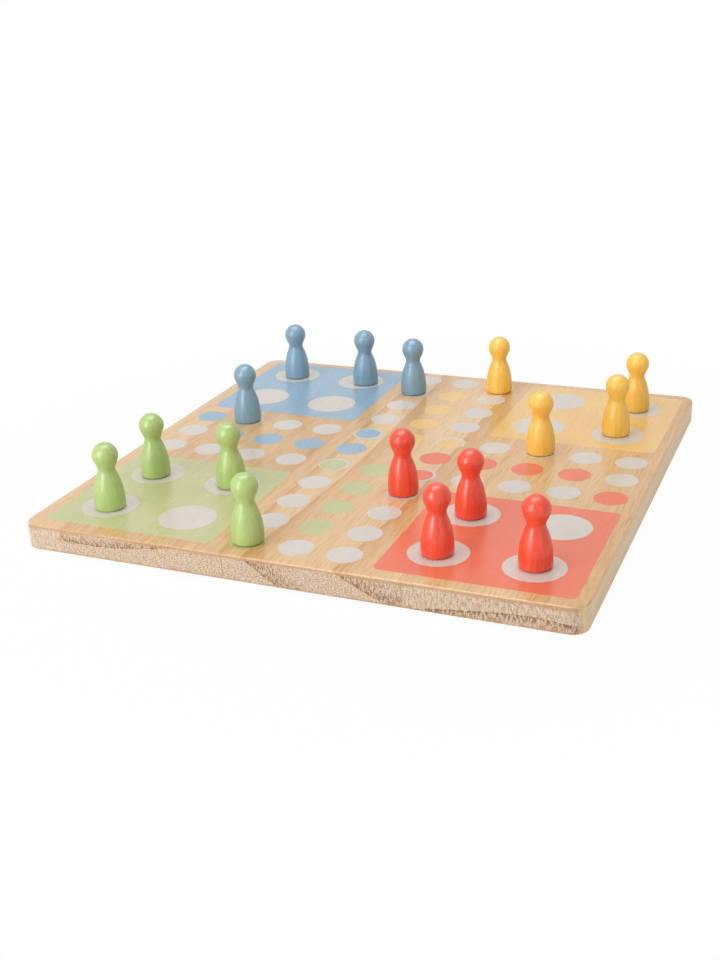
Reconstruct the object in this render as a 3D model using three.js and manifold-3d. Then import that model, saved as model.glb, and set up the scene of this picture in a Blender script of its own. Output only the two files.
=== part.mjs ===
// Wooden ludo board set up for play with its turned pawns.
// Millimetres, +Z up, origin at the middle of the underside.
// The front edge faces -Y and the right-hand edge faces +X.
import * as THREE from "three";
import { mergeVertices } from "three/addons/utils/BufferGeometryUtils.js";
import Module from "manifold-3d";

const wasm = await Module();
wasm.setup();

// Panel
const BOARD_SIDE = 300;
const BOARD_THICKNESS = 14;
const CORNER_RADIUS = 8.5;
const EDGE_ROUND = 1;

// Staves: the panel is cut from a wider glued one, so the first stave is a narrow remainder
// and the last takes up what is left of the width. Glued faces touch.
const FIRST_STAVE_WIDTH = 24;
const STAVE_WIDTH = 94.3;

// Printed layout that the pawns stand on, a little off the middle of the panel
const FIELDS_PER_SIDE = 11;
const FIELD_MARGIN = 16.5;
const PRINT_SHIFT_X = 1.2;
const PRINT_SHIFT_Y = 1.1;
const FIELD_PITCH = (BOARD_SIDE - 2 * FIELD_MARGIN) / (FIELDS_PER_SIDE - 1);
const YARD_CENTRE = 3.483 * FIELD_PITCH;
const YARD_SPOT_OFFSET = 0.901 * FIELD_PITCH;

// Pawn, turned from one piece of wood
const PAWN_HEIGHT = 36.4;
const PAWN_FOOT_RADIUS = 7.6;
const PAWN_BASE_RADIUS = 8.35;
const PAWN_BASE_HEIGHT = 3.2;
const PAWN_SHOULDER_RADIUS = 5.1;
const PAWN_SHOULDER_HEIGHT = 20.1;
const PAWN_SHOULDER_TILT = 0.4;
const PAWN_HEAD_RADIUS = 6.9;
const PAWN_CHIN_ANGLE = -0.3;
const PAWN_CROWN_RADIUS = 2.3;
const PAWN_SEGMENTS = 20;

// Finishes
const WOOD_TONES = ["#d9b592", "#d6ab86", "#d4b08d", "#d3b292"];
const BLUE_PAINT = "#8cacc0";
const GREEN_PAINT = "#b2c87d";
const YELLOW_PAINT = "#f3bb58";
const RED_PAINT = "#eb583f";
const LACQUER_ROUGHNESS = 0.3;
const PAINT_ROUGHNESS = 0.38;

function toSolid(geometry) {
  const plain = geometry.clone();
  plain.deleteAttribute("normal");
  plain.deleteAttribute("uv");
  const merged = mergeVertices(plain, 1e-4);
  return new wasm.Manifold(new wasm.Mesh({
    numProp: 3,
    vertProperties: new Float32Array(merged.attributes.position.array),
    triVerts: new Uint32Array(merged.index.array),
  }));
}

function toGeometry(solid) {
  const mesh = solid.getMesh();
  const geometry = new THREE.BufferGeometry();
  geometry.setAttribute("position", new THREE.BufferAttribute(mesh.vertProperties, 3));
  geometry.setIndex(new THREE.BufferAttribute(mesh.triVerts, 1));
  geometry.computeVertexNormals();
  return geometry;
}

// The whole panel: rounded corners in plan, softened edges above and below
function panelGeometry() {
  const half = BOARD_SIDE / 2;
  const inner = half - CORNER_RADIUS;
  const outline = new THREE.Shape();
  outline.absarc(inner, -inner, CORNER_RADIUS, -Math.PI / 2, 0, false);
  outline.absarc(inner, inner, CORNER_RADIUS, 0, Math.PI / 2, false);
  outline.absarc(-inner, inner, CORNER_RADIUS, Math.PI / 2, Math.PI, false);
  outline.absarc(-inner, -inner, CORNER_RADIUS, Math.PI, 1.5 * Math.PI, false);
  outline.closePath();
  const panel = new THREE.ExtrudeGeometry(outline, {
    depth: BOARD_THICKNESS - 2 * EDGE_ROUND,
    bevelThickness: EDGE_ROUND,
    bevelSize: EDGE_ROUND,
    bevelOffset: -EDGE_ROUND,
    bevelSegments: 3,
    curveSegments: 5,
  });
  panel.translate(0, 0, EDGE_ROUND);
  return panel;
}

// One stave: the panel between two glue lines
function staveGeometry(panel, left, right) {
  const slab = new THREE.BoxGeometry(right - left, 2 * BOARD_SIDE, 4 * BOARD_THICKNESS);
  slab.translate((left + right) / 2, 0, 0);
  return toGeometry(panel.intersect(toSolid(slab)));
}

// Half outline of a pawn from the middle of its foot to its crown: softened foot, tapering
// body, waisted neck, ball head with a small flat on top. The tilt of the shoulder and the
// angle of the chin, in radians, set the directions in which the neck leaves them.
function pawnProfile() {
  const headCentre = PAWN_HEIGHT - Math.sqrt(PAWN_HEAD_RADIUS ** 2 - PAWN_CROWN_RADIUS ** 2);
  const crownAngle = Math.acos(PAWN_CROWN_RADIUS / PAWN_HEAD_RADIUS);
  const base = new THREE.Vector2(PAWN_BASE_RADIUS, PAWN_BASE_HEIGHT);
  const shoulder = new THREE.Vector2(PAWN_SHOULDER_RADIUS, PAWN_SHOULDER_HEIGHT);
  const inward = new THREE.Vector2(-Math.sin(PAWN_SHOULDER_TILT), Math.cos(PAWN_SHOULDER_TILT));
  const chin = new THREE.Vector2(
    PAWN_HEAD_RADIUS * Math.cos(PAWN_CHIN_ANGLE),
    headCentre + PAWN_HEAD_RADIUS * Math.sin(PAWN_CHIN_ANGLE),
  );
  const outward = new THREE.Vector2(-Math.sin(PAWN_CHIN_ANGLE), Math.cos(PAWN_CHIN_ANGLE));
  const bodyHeight = PAWN_SHOULDER_HEIGHT - PAWN_BASE_HEIGHT;
  const neckHeight = chin.y - PAWN_SHOULDER_HEIGHT;
  const footSpread = PAWN_BASE_RADIUS - PAWN_FOOT_RADIUS;

  const foot = new THREE.QuadraticBezierCurve(
    new THREE.Vector2(PAWN_FOOT_RADIUS, 0),
    new THREE.Vector2(PAWN_BASE_RADIUS - 0.15 * footSpread, 0.08 * PAWN_BASE_HEIGHT),
    base,
  );
  const body = new THREE.CubicBezierCurve(
    base,
    new THREE.Vector2(base.x, base.y + 0.55 * bodyHeight),
    shoulder.clone().addScaledVector(inward, -0.17 * bodyHeight),
    shoulder,
  );
  const neck = new THREE.CubicBezierCurve(
    shoulder,
    shoulder.clone().addScaledVector(inward, 0.45 * neckHeight),
    chin.clone().addScaledVector(outward, -0.52 * neckHeight),
    chin,
  );
  const head = new THREE.EllipseCurve(
    0, headCentre, PAWN_HEAD_RADIUS, PAWN_HEAD_RADIUS, PAWN_CHIN_ANGLE, crownAngle, false, 0,
  );
  return [
    new THREE.Vector2(0, 0),
    ...foot.getPoints(3),
    ...body.getPoints(4).slice(1),
    ...neck.getPoints(4).slice(1),
    ...head.getPoints(6).slice(1),
    new THREE.Vector2(0, PAWN_HEIGHT),
  ];
}

// A field of the cross-shaped track, counted in columns and rows from the middle of the print
function field(column, row) {
  return [column * FIELD_PITCH, row * FIELD_PITCH];
}

// A round spot in a corner yard: the signs pick the yard, then the spot inside it
function yardSpot(yardX, yardY, spotX, spotY) {
  return [
    yardX * YARD_CENTRE + spotX * YARD_SPOT_OFFSET,
    yardY * YARD_CENTRE + spotY * YARD_SPOT_OFFSET,
  ];
}

// Where each pawn stands, with the few millimetres it was set down off its spot
const PAWNS = [
  { name: "blue_pawn_1", paint: BLUE_PAINT, spot: yardSpot(-1, 1, -1, 1), off: [1, 0.5] },
  { name: "blue_pawn_2", paint: BLUE_PAINT, spot: yardSpot(-1, 1, 1, 1), off: [4.2, -0.2] },
  { name: "blue_pawn_3", paint: BLUE_PAINT, spot: field(-1, 4), off: [0.1, 0.3] },
  { name: "blue_pawn_4", paint: BLUE_PAINT, spot: field(-4, 1), off: [-1.2, -0.4] },
  { name: "green_pawn_1", paint: GREEN_PAINT, spot: yardSpot(-1, -1, -1, -1), off: [0.1, -1] },
  { name: "green_pawn_2", paint: GREEN_PAINT, spot: yardSpot(-1, -1, -1, 1), off: [-0.1, -1.6] },
  { name: "green_pawn_3", paint: GREEN_PAINT, spot: yardSpot(-1, -1, 1, 1), off: [0.5, -2.3] },
  { name: "green_pawn_4", paint: GREEN_PAINT, spot: field(-1, -5), off: [0.1, 0.1] },
  { name: "yellow_pawn_1", paint: YELLOW_PAINT, spot: field(1, 5), off: [-0.4, -7.7] },
  { name: "yellow_pawn_2", paint: YELLOW_PAINT, spot: field(3, 1), off: [0.4, 0.1] },
  { name: "yellow_pawn_3", paint: YELLOW_PAINT, spot: yardSpot(1, 1, 1, -1), off: [-2, 0.2] },
  { name: "yellow_pawn_4", paint: YELLOW_PAINT, spot: yardSpot(1, 1, 1, 1), off: [0.8, -2.2] },
  { name: "red_pawn_1", paint: RED_PAINT, spot: field(1, -2), off: [-0.9, 1.1] },
  { name: "red_pawn_2", paint: RED_PAINT, spot: yardSpot(1, -1, -1, -1), off: [-1.1, -0.4] },
  { name: "red_pawn_3", paint: RED_PAINT, spot: yardSpot(1, -1, -1, 1), off: [0.4, -0.5] },
  { name: "red_pawn_4", paint: RED_PAINT, spot: yardSpot(1, -1, 1, -1), off: [-0.8, 0.6] },
];

const ludoBoard = new THREE.Group();
ludoBoard.name = "ludo_board";

function addPiece(name, geometry, color, roughness) {
  const material = new THREE.MeshStandardMaterial({ color, roughness, metalness: 0 });
  const mesh = new THREE.Mesh(geometry, material);
  mesh.name = name;
  ludoBoard.add(mesh);
  return mesh;
}

const leftEdge = -BOARD_SIDE / 2;
const firstGlueLine = leftEdge + FIRST_STAVE_WIDTH;
const secondGlueLine = firstGlueLine + STAVE_WIDTH;
const thirdGlueLine = secondGlueLine + STAVE_WIDTH;
const rightEdge = BOARD_SIDE / 2;
const staves = [
  { name: "stave_left_strip", left: leftEdge, right: firstGlueLine },
  { name: "stave_left", left: firstGlueLine, right: secondGlueLine },
  { name: "stave_middle", left: secondGlueLine, right: thirdGlueLine },
  { name: "stave_right", left: thirdGlueLine, right: rightEdge },
];
const panel = toSolid(panelGeometry());
staves.forEach((stave, index) => {
  const geometry = staveGeometry(panel, stave.left, stave.right);
  addPiece(stave.name, geometry, WOOD_TONES[index], LACQUER_ROUGHNESS);
});

const pawnGeometry = new THREE.LatheGeometry(pawnProfile(), PAWN_SEGMENTS);
pawnGeometry.rotateX(Math.PI / 2);
for (const pawn of PAWNS) {
  const mesh = addPiece(pawn.name, pawnGeometry, pawn.paint, PAINT_ROUGHNESS);
  const x = PRINT_SHIFT_X + pawn.spot[0] + pawn.off[0];
  const y = PRINT_SHIFT_Y + pawn.spot[1] + pawn.off[1];
  mesh.position.set(x, y, BOARD_THICKNESS);
}

export default ludoBoard;
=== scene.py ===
"""Wooden ludo board with its turned pawns: lacquered staves, printed fields and painted pawns."""
import math
import random

import bmesh
import bpy
from mathutils import Matrix, Quaternion, Vector


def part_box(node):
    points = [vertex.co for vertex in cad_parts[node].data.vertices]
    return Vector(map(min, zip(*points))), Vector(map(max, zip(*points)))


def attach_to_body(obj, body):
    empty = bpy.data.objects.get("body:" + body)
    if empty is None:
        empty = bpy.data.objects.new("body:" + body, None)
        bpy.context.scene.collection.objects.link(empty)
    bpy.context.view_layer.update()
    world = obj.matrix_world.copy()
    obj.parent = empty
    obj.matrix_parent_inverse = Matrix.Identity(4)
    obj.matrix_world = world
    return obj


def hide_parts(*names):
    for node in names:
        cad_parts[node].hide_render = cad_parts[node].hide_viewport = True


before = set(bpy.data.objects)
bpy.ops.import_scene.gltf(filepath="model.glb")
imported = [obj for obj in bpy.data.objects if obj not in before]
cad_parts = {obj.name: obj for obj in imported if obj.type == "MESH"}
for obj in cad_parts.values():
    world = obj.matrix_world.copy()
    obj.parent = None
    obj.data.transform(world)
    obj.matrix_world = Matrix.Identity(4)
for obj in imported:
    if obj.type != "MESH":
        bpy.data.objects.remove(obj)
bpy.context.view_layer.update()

MM = 0.001
random.seed(11)

# Panel: its extent and glue lines come from the parts in model.glb
STAVES = ["stave_left_strip", "stave_left", "stave_middle", "stave_right"]
BOARD_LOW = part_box(STAVES[0])[0]
BOARD_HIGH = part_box(STAVES[-1])[1]
BOARD_TOP = BOARD_HIGH.z
GLUE_LINES = [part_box(name)[0].x for name in STAVES[1:]]
SAME_LINE = 0.01 * MM
CORNER_RADIUS = 8.5 * MM
CORNER_STEPS = 14
EDGE_ROUND = 1.0 * MM
EDGE_STEPS = 5
STAVE_CREASE = math.radians(40)

# Printed layout: a little off the middle of the board, turned, and with uneven steps between its fields
PITCH = 26.7 * MM
PRINT_CENTRE = Vector((1.2, 1.1)) * MM
PRINT_TURN = math.radians(-0.2)
ARM = 5
FIELD_STEPS = [0.0, 0.978, 2.009, 3.017, 4.02, 4.984]
FIELD_RADIUS = 0.34 * PITCH
RING_FIELD_RADIUS = 0.285 * PITCH
DISC_STEPS = 64
YARD_CENTRE = 3.492 * PITCH
YARD_HALF = 1.843 * PITCH
YARD_CORNER = 0.12 * PITCH
YARD_CORNER_STEPS = 8
YARD_SPOT_RADIUS = 0.577 * PITCH
YARD_SPOT_CENTRE = 3.483 * PITCH
YARD_SPOT_OFFSET = 0.901 * PITCH
YARD_SPOT_TURN = math.radians(-1.0)

# Heights of the ink films: each sinks a little into the wood or the ink under it
INK_SINK = 0.02 * MM
PRINT_BASE = BOARD_TOP - INK_SINK
FIRST_INK = BOARD_TOP + 0.04 * MM
SECOND_INK = BOARD_TOP + 0.07 * MM

# Each colour: the signs of its yard in x and y, the step from the middle along its home lane, and how
# far in millimetres its fields and the white spots of its yard were printed off their places
COLOURS = {
    "blue": {"yard": (-1, 1), "lane": (-1, 0), "field_shift": (-0.5, 0.0), "spot_shift": (-0.9, 1.9)},
    "yellow": {"yard": (1, 1), "lane": (0, 1), "field_shift": (0.1, -1.3), "spot_shift": (-0.2, -0.8)},
    "red": {"yard": (1, -1), "lane": (1, 0), "field_shift": (-0.3, -0.2), "spot_shift": (-0.1, 0.3)},
    "green": {"yard": (-1, -1), "lane": (0, -1), "field_shift": (-0.5, -0.6), "spot_shift": (-0.5, -0.3)},
}

# Pawn: angles are in radians
PAWNS_PER_COLOUR = 4
PAWN_HEIGHT = 36.4 * MM
PAWN_FOOT_RADIUS = 7.6 * MM
PAWN_FOOT_EASE = 1.0 * MM
PAWN_BASE_RADIUS = 8.35 * MM
PAWN_BASE_HEIGHT = 3.2 * MM
PAWN_SHOULDER_RADIUS = 5.1 * MM
PAWN_SHOULDER_HEIGHT = 20.1 * MM
PAWN_SHOULDER_TILT = 0.4
PAWN_HEAD_RADIUS = 6.9 * MM
PAWN_CHIN_ANGLE = -0.3
PAWN_CROWN_RADIUS = 2.3 * MM
PAWN_SEGMENTS = 56
PAWN_CREASE = math.radians(32)

# How far the handles of the pawn's curves reach, as shares of the stretch that each curve spans
SOLE_HANDLE = 0.7
EASE_RISE = Vector((0.15, 0.7))
FOOT_HANDLE = Vector((0.15, 0.08))
BASE_HANDLE = 0.55
SHOULDER_HANDLE = 0.17
NECK_HANDLE = 0.45
CHIN_HANDLE = 0.52
CROWN_FLAT = 0.7
EASE_STEPS = 3
FOOT_STEPS = 8
CURVE_STEPS = 12
HEAD_STEPS = 16

# View of the photograph: the roll is in degrees, lens and sensor are in millimetres
CAMERA_PLACE = Vector((254.3, -640.6, 284.1)) * MM
CAMERA_AIM = Vector((-2.1, -42.0, 14.0)) * MM
CAMERA_ROLL = 2.2
CAMERA_LENS = 47.73
CAMERA_SENSOR = 36.0


# Shader helpers

NOISE_SPREAD = (0.3, 0.7)
LACQUER_IOR = 1.5


def add(tree, kind, inputs=None, **settings):
    """Add a node, set its own settings, then its inputs: a socket is linked, a value is set."""
    made = tree.nodes.new(kind)
    for name, value in settings.items():
        setattr(made, name, value)
    for key, value in (inputs or {}).items():
        if isinstance(value, bpy.types.NodeSocket):
            tree.links.new(value, made.inputs[key])
        else:
            made.inputs[key].default_value = value
    return made


def maths(tree, operation, *values):
    node = add(tree, "ShaderNodeMath", dict(enumerate(values)), operation=operation)
    return node.outputs[0]


def remap(tree, value, low, high, to_low=0.0, to_high=1.0):
    """Carry a stretch of a value over to another stretch, and hold it at the ends."""
    inputs = {"Value": value, "From Min": low, "From Max": high, "To Min": to_low, "To Max": to_high}
    return add(tree, "ShaderNodeMapRange", inputs).outputs["Result"]


def layers(tree, *weighted):
    """Sum of values with a weight each."""
    total = 0.0
    for value, weight in weighted:
        total = maths(tree, "MULTIPLY_ADD", value, weight, total)
    return total


def mix_colour(tree, factor, first, second, blend="MIX"):
    inputs = {0: factor, 6: first, 7: second}
    return add(tree, "ShaderNodeMix", inputs, data_type="RGBA", blend_type=blend).outputs[2]


def object_place(tree):
    """Where a point lies in its piece's own frame, in metres."""
    return add(tree, "ShaderNodeTexCoord").outputs["Object"]


def split(tree, vector):
    return add(tree, "ShaderNodeSeparateXYZ", {0: vector}).outputs


def facing(tree, axis):
    """How squarely a surface faces along an axis, to either side."""
    normal = add(tree, "ShaderNodeTexCoord").outputs["Normal"]
    return maths(tree, "ABSOLUTE", split(tree, normal)[axis])


def distance_to(tree, value, target):
    return maths(tree, "ABSOLUTE", maths(tree, "SUBTRACT", value, target))


def noise(tree, vector, scale, detail=2.0, roughness=0.5):
    """Noise stretched by a scale for each axis, counted in features per metre."""
    mapped = add(tree, "ShaderNodeMapping", {"Vector": vector, "Scale": scale}).outputs[0]
    inputs = {"Vector": mapped, "Scale": 1.0, "Detail": detail, "Roughness": roughness}
    return add(tree, "ShaderNodeTexNoise", inputs).outputs["Fac"]


def bumped(tree, height, strength, distance):
    inputs = {"Strength": strength, "Distance": distance, "Height": height}
    return add(tree, "ShaderNodeBump", inputs).outputs[0]


def new_material(name):
    material = bpy.data.materials.new(name)
    material.use_nodes = True
    tree = material.node_tree
    tree.nodes.clear()
    return material, tree


def finish_material(tree, shader):
    output = add(tree, "ShaderNodeOutputMaterial")
    tree.links.new(shader.outputs[0], output.inputs["Surface"])


# Wood: growth rings about a far pith, one for each stave, with pores and fine streaks

# For each stave from the left, in millimetres: where its pith lies, how wide a ring is, and how far its
# dark late wood reaches in from the ring line
RING_SIZES = {
    "pith_x": [-60.0, -124.0, 149.0, 116.0],
    "pith_z": [-190.0, 368.4, 242.0, -214.7],
    "ring_width": [60.0, 30.0, 25.5, 26.0],
    "band_depth": [8.0, 4.8, 10.5, 6.0],
}

# For each stave from the left: where its count of rings starts, how strongly the late wood and the faint
# line before it show along the grain, how dark the stave is, and how strong the end grain's marks are
STAVE_SHARES = {
    "ring_shift": [0.75, 0.967, 0.826, 0.500],
    "late": [1.0, 0.3, 0.8, 0.8],
    "echo": [0.0, 0.0, 1.0, 0.0],
    "tone": [0.0, 0.18, 0.0, 0.09],
    "specks": [0.36, 0.68, 0.68, 0.44],
    "ticks": [0.32, 0.22, 0.22, 0.36],
}

# Rings: they swing to the right between two rows, waver slowly and ripple finely
RING_SWING = 9.5 * MM
RING_SWING_ROWS = (-150.0 * MM, 190.0 * MM)
RING_WAVE = {"scale": (14.0, 4.0, 14.0), "detail": 1.0}
RING_WAVE_REACH = 2.5 * MM
RING_RIPPLE = {"scale": (300.0, 12.0, 300.0)}
RING_RIPPLE_REACH = 0.6 * MM

# Marks, counted inwards from a ring line: where each is full, then where it is gone
LINE_EDGE = (0.3 * MM, 1.2 * MM)
BAND_START = 0.4 * MM
BAND_FALL = 1.1
ECHO_DEPTH = 9.8 * MM
ECHO_EDGE = (0.3 * MM, 1.6 * MM)

# Glue lines from the left: wood along the first two is darker on the faces, a little to their right, and
# every seam shows on the end grain
JOINT_DEPTHS = [0.10, 0.30]
JOINT_SHIFT = 0.8 * MM
JOINT_EDGE = (1.2 * MM, 3.0 * MM)
SEAM_DEPTHS = [0.06, 0.18, 0.36]
SEAM_EDGE = (0.2 * MM, 0.5 * MM)

# Noise that is long along the grain, from fine to broad, and two kinds for the end grain
GRAIN_NOISE = {
    "Pore": {"scale": (1900.0, 110.0, 1900.0), "detail": 1.0},
    "Fibre": {"scale": (1200.0, 50.0, 1200.0), "detail": 1.0, "roughness": 0.6},
    "Streak": {"scale": (380.0, 14.0, 380.0), "roughness": 0.6},
    "Vein": {"scale": (130.0, 3.5, 130.0)},
    "Cloud": {"scale": (50.0, 7.0, 50.0)},
    "Speck": {"scale": (1500.0, 60.0, 1400.0), "roughness": 0.65},
    "Tick": {"scale": (1000.0, 60.0, 330.0), "detail": 1.0},
}


def by_stave(tree, steps, values):
    """A value that changes from stave to stave."""
    total = values[0]
    for step, before, after in zip(steps, values, values[1:]):
        total = maths(tree, "MULTIPLY_ADD", step, after - before, total)
    return total


def ring_depth(tree, place, sizes, shift):
    """How far a point lies inwards from the next ring line."""
    axes = split(tree, place)
    reach = remap(tree, axes["Y"], *RING_SWING_ROWS, -1.0, 1.0)
    swing = maths(tree, "MULTIPLY_ADD", maths(tree, "MULTIPLY", reach, reach), -RING_SWING, RING_SWING)
    across = maths(tree, "SUBTRACT", maths(tree, "SUBTRACT", axes["X"], sizes["pith_x"]), swing)
    up = maths(tree, "SUBTRACT", axes["Z"], sizes["pith_z"])
    arm = add(tree, "ShaderNodeCombineXYZ", {"X": across, "Z": up}).outputs[0]
    length = add(tree, "ShaderNodeVectorMath", {0: arm}, operation="LENGTH").outputs["Value"]
    for facts, far in ((RING_WAVE, RING_WAVE_REACH), (RING_RIPPLE, RING_RIPPLE_REACH)):
        wander = remap(tree, noise(tree, place, **facts), 0.0, 1.0, -far, far)
        length = maths(tree, "ADD", length, wander)
    turns = maths(tree, "ADD", maths(tree, "DIVIDE", length, sizes["ring_width"]), shift)
    left = maths(tree, "SUBTRACT", 1.0, maths(tree, "FRACT", turns))
    return maths(tree, "MULTIPLY", left, sizes["ring_width"])


def beside_lines(tree, x, lines, depths, full, gone):
    """Darkness beside lines that run from front to back."""
    total = 0.0
    for line, depth in zip(lines, depths):
        shade = remap(tree, distance_to(tree, x, line), full, gone, depth, 0.0)
        total = maths(tree, "ADD", total, shade)
    return total


def grain_group():
    """What wood and inks share: rings and their late wood, glue lines, noise along and across the grain."""
    tree = bpy.data.node_groups.new("panel_grain", "ShaderNodeTree")
    place = object_place(tree)
    x = split(tree, place)["X"]
    steps = [maths(tree, "GREATER_THAN", x, line) for line in GLUE_LINES]
    sizes = {name: by_stave(tree, steps, [v * MM for v in row]) for name, row in RING_SIZES.items()}
    shares = {name: by_stave(tree, steps, row) for name, row in STAVE_SHARES.items()}
    depth = ring_depth(tree, place, sizes, shares["ring_shift"])
    fade = remap(tree, depth, BAND_START, sizes["band_depth"], 1.0, 0.0)
    band = maths(tree, "POWER", fade, BAND_FALL)
    joints = [line + JOINT_SHIFT for line in GLUE_LINES]

    made = {
        "Line": remap(tree, depth, *LINE_EDGE, 1.0, 0.0),
        "Band": band,
        "Late": maths(tree, "MULTIPLY", band, shares["late"]),
        "Echo": remap(tree, distance_to(tree, depth, ECHO_DEPTH), *ECHO_EDGE, shares["echo"], 0.0),
        "Joint": beside_lines(tree, x, joints, JOINT_DEPTHS, *JOINT_EDGE),
        "Seam": beside_lines(tree, x, GLUE_LINES, SEAM_DEPTHS, *SEAM_EDGE),
        "Tone": shares["tone"],
        "Speck Depth": shares["specks"],
        "Tick Depth": shares["ticks"],
    }
    for name, facts in GRAIN_NOISE.items():
        made[name] = noise(tree, place, **facts)
    output = add(tree, "NodeGroupOutput")
    for name, socket in made.items():
        tree.interface.new_socket(name, in_out="OUTPUT", socket_type="NodeSocketFloat")
        tree.links.new(socket, output.inputs[name])
    return tree


PANEL_GRAIN = grain_group()


def grain(tree):
    return add(tree, "ShaderNodeGroup", node_tree=PANEL_GRAIN).outputs


# Colours of the lacquered faces, the end grain, the long edges (their own pale wood raised with painted
# light) and the rims of the end grain
LONG_PALE = (0.826, 0.596, 0.334, 1)
LONG_DEEP = (0.525, 0.190, 0.008, 1)
END_PALE = (0.735, 0.602, 0.450, 1)
END_DEEP = (0.280, 0.120, 0.038, 1)
# The long edges' pale colour is partly their own wood and partly painted light that brightens them as a
# lamp would
PALE_EDGE_AND_PAINTED_LIGHT = (0.950, 0.740, 0.465, 1)
RIM_BROWN = (0.520, 0.260, 0.100, 1)

# Darkness along the grain: the stretch of each noise that shows, with its weight, then the other weights
STREAK_SHOWS = (0.34, 0.68)
LONG_NOISE = {
    "Fibre": ((0.52, 0.68), 0.21),
    "Pore": ((0.55, 0.68), 0.25),
    "Streak": (STREAK_SHOWS, 0.10),
    "Vein": ((0.45, 0.72), 0.08),
    "Cloud": ((0.30, 0.70), 0.12),
}
LONG_FIGURE = {"Late": 0.46, "Line": 0.06, "Echo": 0.10, "Joint": 1.0, "Tone": 1.0}
GOLDEN_EDGE = (120.0 * MM, 146.0 * MM)
GOLDEN_DEPTH = 0.19
# How much of the long edges' pale colour, partly painted light, shows from one streak to the next
PALE_EDGE_AND_PAINTED_LIGHT_SHARE = (0.95, 0.60)

# Darkness of the end grain: the late wood shows most in its ticks
SPECK_SHOWS = (0.45, 0.62)
TICK_SHOWS = (0.42, 0.60)
END_BAND = 0.75
END_LINE = 0.40
END_LATE = 0.78
LATE_BETWEEN_TICKS = 0.30

# Brown rims: their distance from the middle height, which lies a little low, and its unevenness
RIM_LOWERED = 0.4 * MM
RIM_UNEVEN = 3.0 * MM
RIM_NOISE = (90.0, 30.0, 60.0)
RIM_EDGE = (6.3 * MM, 7.6 * MM)
RIM_SHARE = 0.75

# Surface: the edges are rougher than the faces, and the long edges have hardly any gloss
WOOD_ROUGHNESS = (0.24, 0.18)
EDGE_ADDED_ROUGHNESS = 0.14
FACE_GLOSS = 0.5
LONG_EDGE_GLOSS = 0.05
WOOD_BUMP = {"strength": 0.25, "distance": 0.05 * MM}


def on_end_grain(tree):
    """1 on the front and back edges, where the staves show their end grain."""
    return remap(tree, facing(tree, "Y"), 0.6, 0.9)


def on_edge(tree):
    """1 on all edges of the panel, 0 on its upper and lower face."""
    return remap(tree, facing(tree, "Z"), 0.3, 0.7, 1.0, 0.0)


def near_rim(tree):
    """1 close to the upper and lower rim of the panel, in uneven lengths, where the lacquer soaked in."""
    place = object_place(tree)
    middle = (BOARD_LOW.z + BOARD_HIGH.z) / 2 - RIM_LOWERED
    off = distance_to(tree, split(tree, place)["Z"], middle)
    off = maths(tree, "MULTIPLY_ADD", noise(tree, place, RIM_NOISE), RIM_UNEVEN, off)
    return remap(tree, off, *RIM_EDGE)


def long_grain_colour(tree, wood, edge):
    """Warm and finely streaked, golden towards the right-hand edge, pale on the long edges: partly their
    own paler wood, partly painted light.
    """
    x = split(tree, object_place(tree))["X"]
    fine = [(remap(tree, wood[name], *shows), weight) for name, (shows, weight) in LONG_NOISE.items()]
    figure = [(wood[name], weight) for name, weight in LONG_FIGURE.items()]
    golden = (remap(tree, x, *GOLDEN_EDGE), GOLDEN_DEPTH)
    dark = layers(tree, *fine, *figure, golden)
    lacquered = mix_colour(tree, dark, LONG_PALE, LONG_DEEP)
    # The long edges take the pale colour, which is partly painted light brightening them
    streaked = remap(tree, wood["Streak"], *STREAK_SHOWS, *PALE_EDGE_AND_PAINTED_LIGHT_SHARE)
    return mix_colour(tree, maths(tree, "MULTIPLY", edge, streaked), lacquered, PALE_EDGE_AND_PAINTED_LIGHT)


def end_grain_colour(tree, wood, speck):
    """Pale, with specks, ticks and ticked late wood, dark seams and brown rims."""
    tick = remap(tree, wood["Tick"], *TICK_SHOWS)
    late = layers(tree, (wood["Band"], END_BAND), (wood["Line"], END_LINE))
    ticked = maths(tree, "MULTIPLY", late, remap(tree, tick, 0.0, 1.0, LATE_BETWEEN_TICKS, 1.0))
    marks = [(speck, wood["Speck Depth"]), (tick, wood["Tick Depth"])]
    dark = layers(tree, *marks, (ticked, END_LATE), (wood["Seam"], 1.0))
    sawn = mix_colour(tree, dark, END_PALE, END_DEEP)
    return mix_colour(tree, maths(tree, "MULTIPLY", near_rim(tree), RIM_SHARE), sawn, RIM_BROWN)


def wood_material():
    """Lacquered wood: one look along the grain and another on the end grain."""
    material, tree = new_material("lacquered_wood")
    wood = grain(tree)
    end = on_end_grain(tree)
    edge = on_edge(tree)
    speck = remap(tree, wood["Speck"], *SPECK_SHOWS)
    along = long_grain_colour(tree, wood, edge)
    across = end_grain_colour(tree, wood, speck)

    pitted = maths(tree, "SUBTRACT", 1.0, speck)
    height = add(tree, "ShaderNodeMix", {0: end, 2: wood["Fibre"], 3: pitted}).outputs[0]
    rough = remap(tree, wood["Streak"], *NOISE_SPREAD, *WOOD_ROUGHNESS)
    long_edge = maths(tree, "SUBTRACT", edge, end)
    shader = add(tree, "ShaderNodeBsdfPrincipled", {
        "Base Color": mix_colour(tree, end, along, across),
        "Roughness": maths(tree, "MULTIPLY_ADD", edge, EDGE_ADDED_ROUGHNESS, rough),
        "IOR": LACQUER_IOR,
        "Specular IOR Level": remap(tree, long_edge, 0.0, 1.0, FACE_GLOSS, LONG_EDGE_GLOSS),
        "Normal": bumped(tree, height, **WOOD_BUMP),
    })
    finish_material(tree, shader)
    return material


# Print: thin ink films under the lacquer, through which the grain shows

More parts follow.
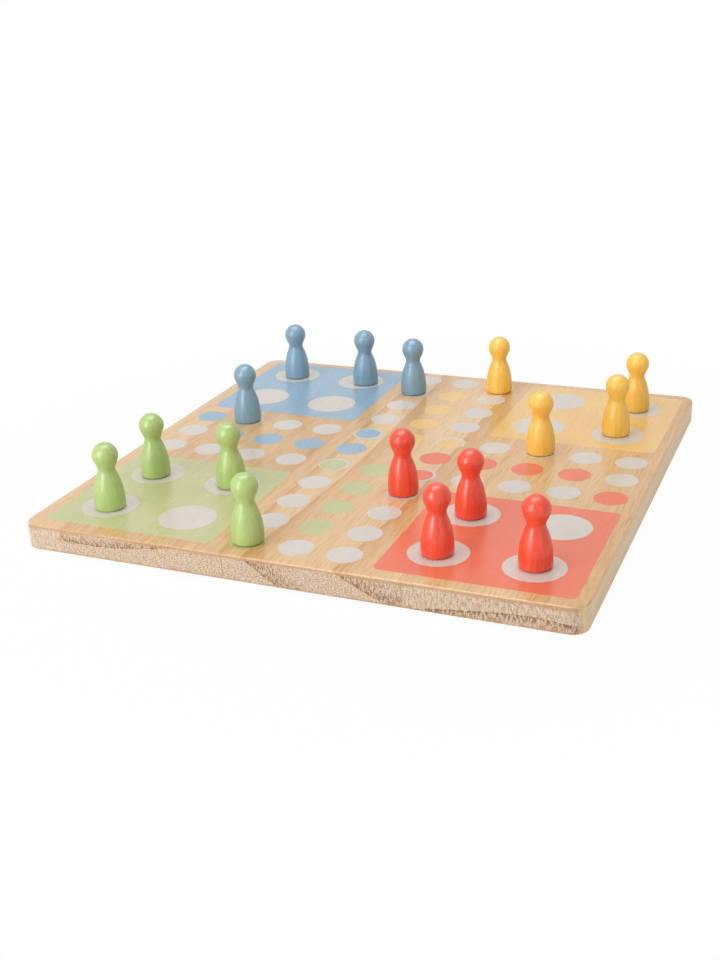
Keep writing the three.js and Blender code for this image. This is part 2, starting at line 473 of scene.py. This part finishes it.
INKS = {
    "white": {"colour": (0.680, 0.625, 0.560, 1), "grain": 0.12},
    "blue": {"colour": (0.310, 0.460, 0.590, 1), "grain": 0.30},
    "green": {"colour": (0.555, 0.575, 0.278, 1), "grain": 0.25},
    "yellow": {"colour": (0.850, 0.550, 0.200, 1), "grain": 0.25},
    "red": {"colour": (0.830, 0.190, 0.100, 1), "grain": 0.25},
}
INK_BAND_SHADE = 0.18
INK_SHADES = {"Streak": 0.12, "Fibre": 0.08, "Vein": 0.08}
INK_MOTTLE = (60.0, 30.0, 60.0)
INK_MOTTLE_SHADE = (0.94, 1.06)
INK_ROUGHNESS = (0.20, 0.34)
INK_BUMP = {"strength": 0.15, "distance": 0.02 * MM}


def ink_material(name, ink):
    material, tree = new_material(f"{name}_ink")
    wood = grain(tree)
    show = ink["grain"]
    mottle = noise(tree, object_place(tree), INK_MOTTLE)
    shade = remap(tree, wood["Band"], 0.0, 1.0, 1.0, 1.0 - INK_BAND_SHADE * show)
    for layer, depth in INK_SHADES.items():
        part = remap(tree, wood[layer], *NOISE_SPREAD, 1.0 + depth * show, 1.0 - depth * show)
        shade = maths(tree, "MULTIPLY", shade, part)
    shade = maths(tree, "MULTIPLY", shade, remap(tree, mottle, 0.0, 1.0, *INK_MOTTLE_SHADE))
    shader = add(tree, "ShaderNodeBsdfPrincipled", {
        "Base Color": mix_colour(tree, 1.0, ink["colour"], shade, blend="MULTIPLY"),
        "Roughness": remap(tree, mottle, 0.0, 1.0, *INK_ROUGHNESS),
        "IOR": LACQUER_IOR,
        "Normal": bumped(tree, wood["Streak"], **INK_BUMP),
    })
    finish_material(tree, shader)
    return material


# Pawn paint: thin enough for the turned wood's grain to show as faint upright streaks

PAINTS = {
    "blue": {"colour": (0.215, 0.370, 0.490, 1), "roughness": 0.36},
    "green": {"colour": (0.433, 0.580, 0.188, 1), "roughness": 0.36},
    "yellow": {"colour": (0.980, 0.585, 0.088, 1), "roughness": 0.40},
    "red": {"colour": (0.885, 0.074, 0.028, 1), "roughness": 0.29},
}
PAINT_STREAK = {"scale": (700.0, 700.0, 22.0), "roughness": 0.6}
PAINT_STREAK_SHADE = (1.08, 0.90)
PAINT_MOTTLE = (90.0, 90.0, 60.0)
PAINT_MOTTLE_SHADE = (0.97, 1.03)
PAINT_ROUGHNESS_SPREAD = 0.04
PAINT_GLOSS = 0.65
PAINT_BUMP = {"strength": 0.25, "distance": 0.03 * MM}


def paint_material(name, paint):
    material, tree = new_material(f"{name}_paint")
    own = add(tree, "ShaderNodeObjectInfo").outputs["Random"]
    moved = add(tree, "ShaderNodeVectorMath", {0: object_place(tree), 1: own}, operation="ADD")
    place = moved.outputs[0]
    streak = noise(tree, place, **PAINT_STREAK)
    mottle = noise(tree, place, PAINT_MOTTLE)
    shade = remap(tree, streak, *NOISE_SPREAD, *PAINT_STREAK_SHADE)
    shade = maths(tree, "MULTIPLY", shade, remap(tree, mottle, *NOISE_SPREAD, *PAINT_MOTTLE_SHADE))
    smoothest = paint["roughness"] - PAINT_ROUGHNESS_SPREAD
    roughest = paint["roughness"] + PAINT_ROUGHNESS_SPREAD
    shader = add(tree, "ShaderNodeBsdfPrincipled", {
        "Base Color": mix_colour(tree, 1.0, paint["colour"], shade, blend="MULTIPLY"),
        "Roughness": remap(tree, streak, *NOISE_SPREAD, smoothest, roughest),
        "IOR": LACQUER_IOR,
        "Specular IOR Level": PAINT_GLOSS,
        "Normal": bumped(tree, streak, **PAINT_BUMP),
    })
    finish_material(tree, shader)
    return material


# Mesh helpers

def skin(bm, rings):
    """Close a stack of vertex rings of equal count into a solid skin."""
    for lower, upper in zip(rings, rings[1:]):
        for i in range(len(lower)):
            j = (i + 1) % len(lower)
            bm.faces.new((lower[i], lower[j], upper[j], upper[i]))
    bm.faces.new(list(reversed(rings[0])))
    bm.faces.new(rings[-1])


def circle(centre, radius, steps):
    turns = [2 * math.pi * i / steps for i in range(steps)]
    return [(centre[0] + radius * math.cos(t), centre[1] + radius * math.sin(t)) for t in turns]


def quarter_arc(centre, radius, quarter, steps):
    """A quarter of a circle, with both its ends, from so many quarter turns on."""
    turns = [math.pi / 2 * (quarter + i / steps) for i in range(steps + 1)]
    return [(centre[0] + radius * math.cos(t), centre[1] + radius * math.sin(t)) for t in turns]


def link_mesh(name, bm, material):
    mesh = bpy.data.meshes.new(name)
    bmesh.ops.recalc_face_normals(bm, faces=bm.faces)
    bm.to_mesh(mesh)
    bm.free()
    mesh.materials.append(material)
    piece = bpy.data.objects.new(name, mesh)
    bpy.context.scene.collection.objects.link(piece)
    return piece


def shade_smooth(piece, crease):
    """Smooth shading that keeps edges sharper than the crease angle."""
    piece.data.shade_smooth()
    piece.data.set_sharp_from_angle(angle=crease)


def attach(piece, body):
    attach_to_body(piece, body)


# Staves

def stave_outline(low, high, inset):
    """Plan of a stave, drawn in by an inset along the panel's outer edges but not at its glue lines."""
    points = []
    corners = ((low.x, low.y, 2), (high.x, low.y, 3), (high.x, high.y, 0), (low.x, high.y, 1))
    for x, y, quarter in corners:
        inward_x = 1 if x == low.x else -1
        inward_y = 1 if y == low.y else -1
        if any(abs(x - line) < SAME_LINE for line in GLUE_LINES):
            points.append((x, y + inward_y * inset))
            continue
        centre = (x + inward_x * CORNER_RADIUS, y + inward_y * CORNER_RADIUS)
        points += quarter_arc(centre, CORNER_RADIUS - inset, quarter, CORNER_STEPS)
    return points


def make_stave(name, material):
    """A stave with its outer corners rounded in plan and its outer edges softened."""
    low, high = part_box(name)
    turns = [math.pi / 2 * i / EDGE_STEPS for i in range(EDGE_STEPS + 1)]
    softened = [(EDGE_ROUND * (1 - math.sin(t)), EDGE_ROUND * (1 - math.cos(t))) for t in turns]
    levels = [(inset, low.z + rise) for inset, rise in softened]
    levels += [(inset, high.z - rise) for inset, rise in reversed(softened)]
    bm = bmesh.new()
    rings = []
    for inset, z in levels:
        rings.append([bm.verts.new((x, y, z)) for x, y in stave_outline(low, high, inset)])
    skin(bm, rings)
    piece = link_mesh(f"{name}_board", bm, material)
    shade_smooth(piece, STAVE_CREASE)
    weighted = piece.modifiers.new("even_faces", "WEIGHTED_NORMAL")
    weighted.keep_sharp = True
    attach(piece, "board")
    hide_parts(name)


# Printed fields

def on_board(x, y):
    """A place in the print, moved to where the print lies on the board."""
    place = PRINT_CENTRE + Matrix.Rotation(PRINT_TURN, 2) @ Vector((x, y))
    return (place.x, place.y)


def film(bm, outline, low, high):
    """A flat closed film of ink over an outline, from one height to another."""
    placed = [on_board(x, y) for x, y in outline]
    skin(bm, [[bm.verts.new((x, y, z)) for x, y in placed] for z in (low, high)])


def disc(centre, radius):
    return circle(centre, radius, DISC_STEPS)


def rounded_square(centre, half, corner):
    points = []
    for quarter, (sx, sy) in enumerate(((1, 1), (-1, 1), (-1, -1), (1, -1))):
        middle = (centre[0] + sx * (half - corner), centre[1] + sy * (half - corner))
        points += quarter_arc(middle, corner, quarter, YARD_CORNER_STEPS)
    return points


def field_step(count):
    """Signed distance of a column or row from the middle of the print."""
    return math.copysign(FIELD_STEPS[abs(count)] * PITCH, count)


def field_place(column, row, shift=(0.0, 0.0)):
    return (field_step(column) + shift[0] * MM, field_step(row) + shift[1] * MM)


def start_field(colour):
    """The start field: at the outer end of the row that lies clockwise of the home lane."""
    lane = Vector(COLOURS[colour]["lane"])
    side = Vector((lane.y, -lane.x))
    return tuple(round(v) for v in ARM * lane + side)


def track_fields():
    """Every field of the cross that isn't in a home lane or the empty middle."""
    reach = range(-ARM, ARM + 1)
    cross = [(i, j) for i in reach for j in reach if abs(i) <= 1 or abs(j) <= 1]
    return [(i, j) for i, j in cross if (i, j) != (0, 0) and (i * j != 0 or max(abs(i), abs(j)) == ARM)]


def yard_spots(colour):
    facts = COLOURS[colour]
    middle = Vector(facts["yard"]) * YARD_SPOT_CENTRE + Vector(facts["spot_shift"]) * MM
    turn = Matrix.Rotation(YARD_SPOT_TURN, 2)
    return [middle + turn @ Vector((dx, dy)) * YARD_SPOT_OFFSET for dx in (-1, 1) for dy in (-1, 1)]


def make_colour_print(colour, facts, material):
    """A colour's yard, start field and home lane, and its inner corner field on top of a white one."""
    bm = bmesh.new()
    sx, sy = facts["yard"]
    yard = rounded_square((sx * YARD_CENTRE, sy * YARD_CENTRE), YARD_HALF, YARD_CORNER)
    film(bm, yard, PRINT_BASE, FIRST_INK)
    lane = facts["lane"]
    fields = [start_field(colour)] + [(step * lane[0], step * lane[1]) for step in range(1, ARM)]
    for column, row in fields:
        place = field_place(column, row, facts["field_shift"])
        film(bm, disc(place, FIELD_RADIUS), PRINT_BASE, FIRST_INK)
    inner = field_place(*facts["yard"], facts["field_shift"])
    film(bm, disc(inner, RING_FIELD_RADIUS), FIRST_INK - INK_SINK, SECOND_INK)
    piece = link_mesh(f"{colour}_print", bm, material)
    attach(piece, "board")


def make_white_print(material):
    """The white track fields on the wood and the white spots on the yards."""
    bm = bmesh.new()
    starts = [start_field(colour) for colour in COLOURS]
    for column, row in track_fields():
        if (column, row) not in starts:
            film(bm, disc(field_place(column, row), FIELD_RADIUS), PRINT_BASE, FIRST_INK)
    for colour in COLOURS:
        for spot in yard_spots(colour):
            film(bm, disc(spot, YARD_SPOT_RADIUS), FIRST_INK - INK_SINK, SECOND_INK)
    piece = link_mesh("white_print", bm, material)
    attach(piece, "board")


# Pawns

def bezier(points, steps):
    """Points along a Bezier curve of any degree, without the first one."""
    made = []
    for i in range(1, steps + 1):
        t = i / steps
        level = [Vector(p) for p in points]
        while len(level) > 1:
            level = [a.lerp(b, t) for a, b in zip(level, level[1:])]
        made.append(level[0])
    return made


def pawn_profile():
    """Radius and height from the foot to the crown: foot, tapering body, waisted neck, ball head."""
    head_centre = PAWN_HEIGHT - math.sqrt(PAWN_HEAD_RADIUS ** 2 - PAWN_CROWN_RADIUS ** 2)
    crown_angle = math.acos(PAWN_CROWN_RADIUS / PAWN_HEAD_RADIUS)

    def on_head(angle):
        return Vector((math.cos(angle), math.sin(angle))) * PAWN_HEAD_RADIUS + Vector((0, head_centre))

    foot = Vector((PAWN_FOOT_RADIUS, 0))
    base = Vector((PAWN_BASE_RADIUS, PAWN_BASE_HEIGHT))
    shoulder = Vector((PAWN_SHOULDER_RADIUS, PAWN_SHOULDER_HEIGHT))
    chin = on_head(PAWN_CHIN_ANGLE)
    inward = Vector((-math.sin(PAWN_SHOULDER_TILT), math.cos(PAWN_SHOULDER_TILT)))
    outward = Vector((-math.sin(PAWN_CHIN_ANGLE), math.cos(PAWN_CHIN_ANGLE)))
    body_height = shoulder.y - base.y
    neck_height = chin.y - shoulder.y

    sole = foot - Vector((PAWN_FOOT_EASE, 0))
    eased = foot + EASE_RISE * PAWN_FOOT_EASE
    foot_bend = Vector((base.x - FOOT_HANDLE.x * (base.x - foot.x), FOOT_HANDLE.y * base.y))
    base_bend = base + Vector((0, BASE_HANDLE * body_height))
    shoulder_bend = shoulder - SHOULDER_HANDLE * body_height * inward
    neck_bend = shoulder + NECK_HANDLE * neck_height * inward
    chin_bend = chin - CHIN_HANDLE * neck_height * outward

    profile = [sole]
    profile += bezier([sole, sole.lerp(foot, SOLE_HANDLE), eased], EASE_STEPS)
    profile += bezier([foot, foot_bend, base], FOOT_STEPS)[EASE_STEPS:]
    profile += bezier([base, base_bend, shoulder_bend, shoulder], CURVE_STEPS)
    profile += bezier([shoulder, neck_bend, chin_bend, chin], CURVE_STEPS)
    for i in range(1, HEAD_STEPS + 1):
        profile.append(on_head(PAWN_CHIN_ANGLE + (crown_angle - PAWN_CHIN_ANGLE) * i / HEAD_STEPS))
    profile.append(Vector((CROWN_FLAT * PAWN_CROWN_RADIUS, PAWN_HEIGHT)))
    return profile


def make_pawn(node, material):
    low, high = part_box(node)
    bm = bmesh.new()
    rings = []
    for radius, height in pawn_profile():
        turned = circle((0.0, 0.0), radius, PAWN_SEGMENTS)
        rings.append([bm.verts.new((x, y, height)) for x, y in turned])
    skin(bm, rings)
    piece = link_mesh(f"{node}_turned", bm, material)
    shade_smooth(piece, PAWN_CREASE)
    piece.location = ((low.x + high.x) / 2, (low.y + high.y) / 2, low.z)
    piece.rotation_euler.z = random.uniform(0, 2 * math.pi)
    attach(piece, node)
    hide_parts(node)


# Setting: lengths are in metres and powers in watts

WHITE = (1, 1, 1, 1)
WORLD_FILL = 0.22
FLOOR_HALF = 4.0
FLOOR_LIT = (0.9, 0.9, 0.9, 1)
FLOOR_GLOW = 0.94
SHADOW_REACH = (0.20, 0.34)

# Lamps: some only light the surfaces, some only shine in them as highlights
LAMP_AIM = Vector((0.0, 0.0, 0.02))
LAMPS = {
    "overhead": {"place": (0.0, 0.05, 1.1), "size": (1.4, 1.2), "power": 10.2, "shines": False},
    "overhead_strip": {"place": (-0.15, 0.08, 1.1), "size": (0.9, 0.6), "power": 9.0, "lights": False},
    "front_left": {"place": (-0.60, -1.10, 0.33), "size": (1.3, 0.66), "power": 10.6, "shines": False},
    "front_strip": {"place": (-0.46, -1.08, 0.50), "size": (0.36, 1.06), "power": 8.8, "lights": False},
    "front_right": {"place": (0.85, -0.75, 0.40), "size": (0.2, 0.7), "power": 0.7},
}


def seen_directly(tree):
    """1 for camera, glossy and transmitted rays, to which the surroundings are plain white."""
    rays = add(tree, "ShaderNodeLightPath").outputs
    seen = maths(tree, "MAXIMUM", rays["Is Camera Ray"], rays["Is Glossy Ray"])
    return maths(tree, "MAXIMUM", seen, rays["Is Transmission Ray"])


def floor_material():
    """White: near the board it keeps a faint shadow, further off it is plain."""
    material, tree = new_material("white_floor")
    lit = add(tree, "ShaderNodeBsdfDiffuse", {"Color": FLOOR_LIT}).outputs[0]
    glow = add(tree, "ShaderNodeEmission", {"Color": WHITE, "Strength": 1.0}).outputs[0]
    place = object_place(tree)
    distance = add(tree, "ShaderNodeVectorMath", {0: place}, operation="LENGTH").outputs["Value"]
    glowing = remap(tree, distance, *SHADOW_REACH, FLOOR_GLOW, 1.0)
    share = maths(tree, "MULTIPLY", seen_directly(tree), glowing)
    finish_material(tree, add(tree, "ShaderNodeMixShader", {0: share, 1: lit, 2: glow}))
    return material


def make_floor():
    bm = bmesh.new()
    bmesh.ops.create_grid(bm, x_segments=1, y_segments=1, size=FLOOR_HALF)
    floor = link_mesh("floor", bm, floor_material())
    floor.location.z = BOARD_LOW.z


def make_world():
    world = bpy.data.worlds.new("studio")
    world.use_nodes = True
    tree = world.node_tree
    tree.nodes.clear()
    strength = remap(tree, seen_directly(tree), 0.0, 1.0, WORLD_FILL, 1.0)
    background = add(tree, "ShaderNodeBackground", {"Color": WHITE, "Strength": strength})
    output = add(tree, "ShaderNodeOutputWorld")
    tree.links.new(background.outputs[0], output.inputs["Surface"])
    bpy.context.scene.world = world


def add_lamp(name, place, size, power, lights=True, shines=True):
    """A rectangular soft lamp, which may light surfaces, shine in them as a highlight, or both."""
    data = bpy.data.lights.new(name, "AREA")
    data.shape = "RECTANGLE"
    data.size = size[0]
    data.size_y = size[1]
    data.energy = power
    lamp = bpy.data.objects.new(name, data)
    lamp.location = place
    lamp.rotation_mode = "QUATERNION"
    lamp.rotation_quaternion = (LAMP_AIM - Vector(place)).to_track_quat("-Z", "Y")
    lamp.visible_diffuse = lights
    lamp.visible_glossy = shines
    bpy.context.scene.collection.objects.link(lamp)


def make_camera():
    data = bpy.data.cameras.new("photo_view")
    data.lens = CAMERA_LENS
    data.sensor_width = CAMERA_SENSOR
    camera = bpy.data.objects.new("photo_view", data)
    camera.location = CAMERA_PLACE
    camera.rotation_mode = "QUATERNION"
    level = (CAMERA_AIM - CAMERA_PLACE).to_track_quat("-Z", "Y")
    camera.rotation_quaternion = level @ Quaternion((0, 0, 1), -math.radians(CAMERA_ROLL))
    bpy.context.scene.collection.objects.link(camera)
    bpy.context.scene.camera = camera


make_camera()
make_world()
for name, lamp in LAMPS.items():
    add_lamp(name, **lamp)
make_floor()

wood = wood_material()
for stave in STAVES:
    make_stave(stave, wood)
inks = {name: ink_material(name, ink) for name, ink in INKS.items()}
for colour, facts in COLOURS.items():
    make_colour_print(colour, facts, inks[colour])
make_white_print(inks["white"])
for colour, paint in PAINTS.items():
    painted = paint_material(colour, paint)
    for number in range(1, PAWNS_PER_COLOUR + 1):
        make_pawn(f"{colour}_pawn_{number}", painted)

bpy.context.scene.view_settings.view_transform = "Standard"
